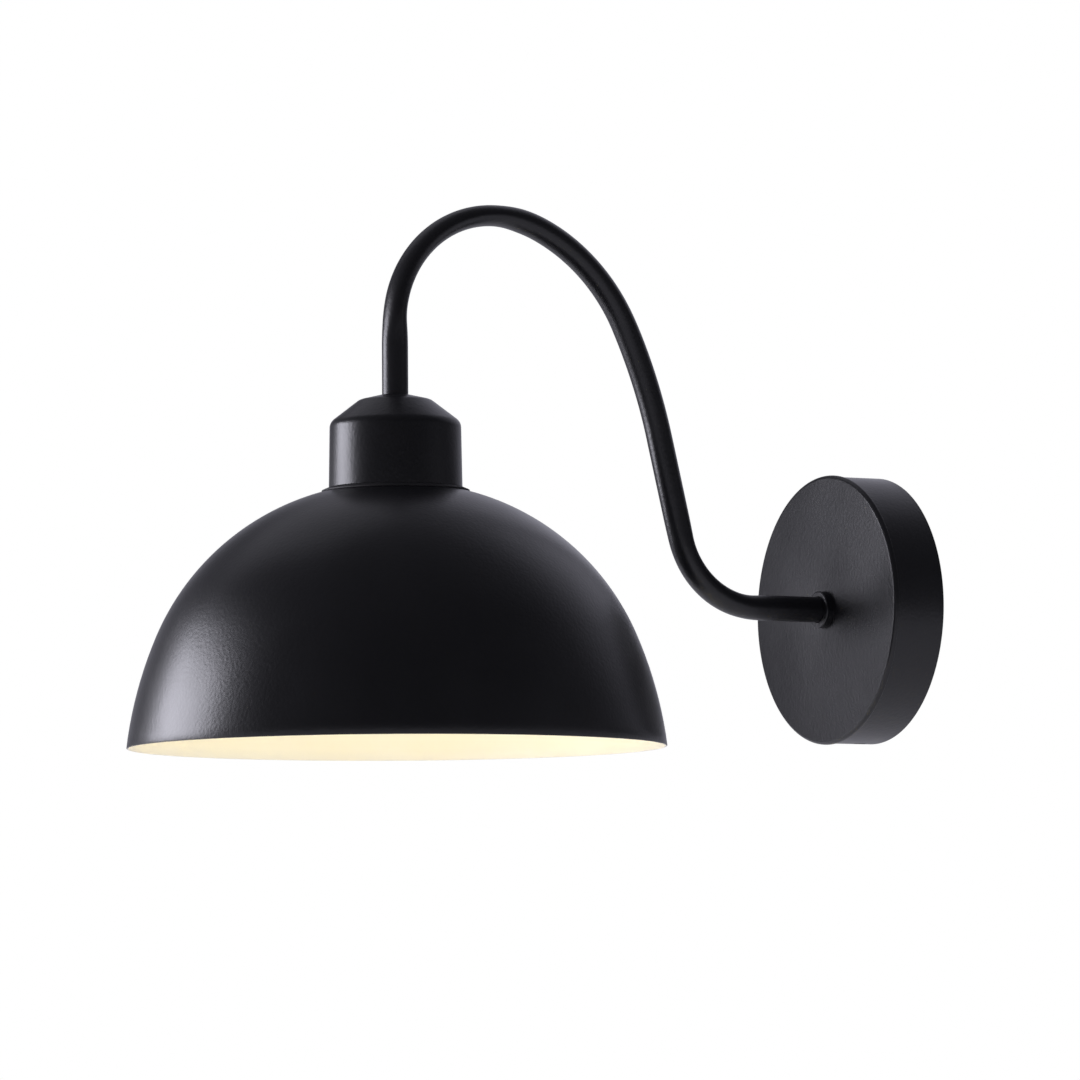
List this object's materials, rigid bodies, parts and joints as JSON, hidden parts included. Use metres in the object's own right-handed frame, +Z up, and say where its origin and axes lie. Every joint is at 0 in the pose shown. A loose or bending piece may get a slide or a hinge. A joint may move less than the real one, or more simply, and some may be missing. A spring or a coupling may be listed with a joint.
{
  "type": "wall light",
  "caption": "Gooseneck wall light: round wall plate, bent tube arm, stepped socket cap and a hanging dome shade with an opal bulb inside.",
  "frame": {"origin": "centre of the round wall plate, on the wall plane", "axes": "+X out of the wall, +Z up, +Y to the left as the light is faced from the room"},
  "size_m": [0.3775, 0.246, 0.2525],
  "materials": {
    "black_powder_coat": "satin black powder coat, fine orange peel; the inside of the shade is stoved cream enamel",
    "zinc_plated_steel": "bright zinc plate",
    "tinned_copper": "tinned copper crimp lugs",
    "brass": "bright brass pressings",
    "white_nylon": "moulded nylon",
    "black_phenolic": "moulded phenolic",
    "black_seal": "thin fibre-reinforced washer, black",
    "white_ceramic": "unglazed steatite",
    "opal_glass": "opal glass envelope, lit warm white",
    "nickel_cap": "rolled nickel-plated cap",
    "black_glass": "black vitrite",
    "solder": "soldered tip contact",
    "black_pvc": "round sheathed flex",
    "brown_pvc": "brown core",
    "blue_pvc": "blue core",
    "green_yellow_pvc": "green and yellow core"
  },
  "bodies": {
    "fixture": {"wall_plate": "black_powder_coat", "side_screws": "black_powder_coat", "arm_collar": "black_powder_coat", "arm_tube": "black_powder_coat", "socket_cap": "black_powder_coat", "shade": "black_powder_coat", "wall_bracket": "zinc_plated_steel", "wall_washer": "zinc_plated_steel", "block_screw": "zinc_plated_steel", "earth_washer": "zinc_plated_steel", "earth_screw": "zinc_plated_steel", "wall_nut": "zinc_plated_steel", "head_nut": "zinc_plated_steel", "wall_nipple": "zinc_plated_steel", "head_nipple": "zinc_plated_steel", "terminal_screws": "zinc_plated_steel", "holder_screws": "zinc_plated_steel", "earth_lug": "tinned_copper", "plate_lug": "tinned_copper", "terminal_tubes": "brass", "screw_shell": "brass", "centre_contact": "brass", "terminal_block": "white_nylon", "lampholder_dome": "black_phenolic", "lampholder_skirt": "black_phenolic", "shade_ring": "black_phenolic", "cable_bush": "black_phenolic", "seal_washer": "black_seal", "contact_block": "white_ceramic", "flex": "black_pvc", "live_core_wall": "brown_pvc", "live_core_head": "brown_pvc", "neutral_core_wall": "blue_pvc", "neutral_core_head": "blue_pvc", "earth_lead": "green_yellow_pvc"},
    "bulb_tip_slide": {"bulb_tip": "solder"},
    "bulb": {"bulb_globe": "opal_glass", "bulb_cap": "nickel_cap", "bulb_insulator": "black_glass"}
  },
  "joints": [
    {"name": "bulb_travel", "type": "slide", "parent": "fixture", "child": "bulb_tip_slide", "axis": [0, 0, -1], "range_m": [0, 0.02]},
    {"name": "bulb_turn", "type": "hinge", "parent": "bulb_tip_slide", "child": "bulb", "pos_m": [0.2545, 0, 0], "axis": [0, 0, -1], "range_deg": [0, 1980]}
  ],
  "couplings": [
    {"joint": "bulb_travel", "follows": "bulb_turn", "m_per_rad": 0.00057757}
  ]
}
